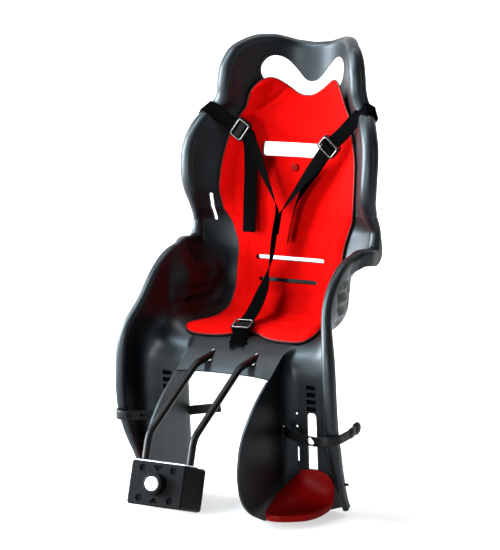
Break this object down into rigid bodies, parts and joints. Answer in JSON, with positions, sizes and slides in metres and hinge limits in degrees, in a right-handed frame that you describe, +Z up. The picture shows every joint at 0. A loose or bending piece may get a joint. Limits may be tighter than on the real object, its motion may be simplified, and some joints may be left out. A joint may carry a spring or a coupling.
{
  "type": "rear child bicycle seat",
  "caption": "Rear child bicycle seat with a deep moulded shell, red pad, webbing harness, leg guards with sliding foot rests, and a bent steel fork in a seat tube clamp.",
  "frame": {"origin": "on the floor under the middle of the whole seat, level with the bottoms of the leg guards", "axes": "+Z up, -Y the way the child faces, X across the seat"},
  "size_m": [0.422, 0.5816, 0.779],
  "materials": {
    "shell": "satin dark grey moulding",
    "pad": "bright red quilted cover",
    "webbing": "black woven webbing",
    "adjuster": "black slider",
    "trim": "moulded stud",
    "foot_rest": "deep red moulding",
    "foot_strap": "black rubber",
    "fork": "gloss black steel bar",
    "fastener": "zinc plated",
    "bracket": "dark glass-filled plastic",
    "button": "white"
  },
  "bodies": {
    "seat": {"seat_shell": "shell", "seat_pad": "pad", "pad_snap": "trim", "shoulder_strap_left": "webbing", "shoulder_strap_right": "webbing", "chest_strap_left": "webbing", "chest_strap_right": "webbing", "crotch_strap": "webbing", "strap_adjuster_left": "adjuster", "strap_adjuster_right": "adjuster", "crotch_adjuster": "adjuster", "strap_anchor_screws": "fastener", "crotch_strap_stop": "trim", "foot_strap_left": "foot_strap", "foot_strap_right": "foot_strap", "mounting_fork": "fork", "fork_clamp_plate": "fastener", "fork_clamp_bolts": "fastener", "fork_clamp_nuts": "fastener", "bracket_front": "bracket", "bracket_rear": "bracket", "bracket_bolts": "fastener", "bracket_nuts": "fastener", "button_spring": "fastener"},
    "footrest_left": {"foot_rest_left": "foot_rest"},
    "footrest_right": {"foot_rest_right": "foot_rest"},
    "button": {"release_button": "button", "latch_bar": "fastener"}
  },
  "joints": [
    {"name": "foot_rest_left_slide", "type": "slide", "parent": "seat", "child": "footrest_left", "axis": [0, -0.0825, 0.9966], "range_m": [0, 0.068]},
    {"name": "foot_rest_right_slide", "type": "slide", "parent": "seat", "child": "footrest_right", "axis": [0, -0.0825, 0.9966], "range_m": [0, 0.068]},
    {"name": "release_button_press", "type": "slide", "parent": "seat", "child": "button", "axis": [0, 0.9563, -0.2924], "range_m": [0, 0.004], "stiffness_N_per_m": 800, "springref_m": -0.002, "deforming": ["button_spring"]}
  ]
}
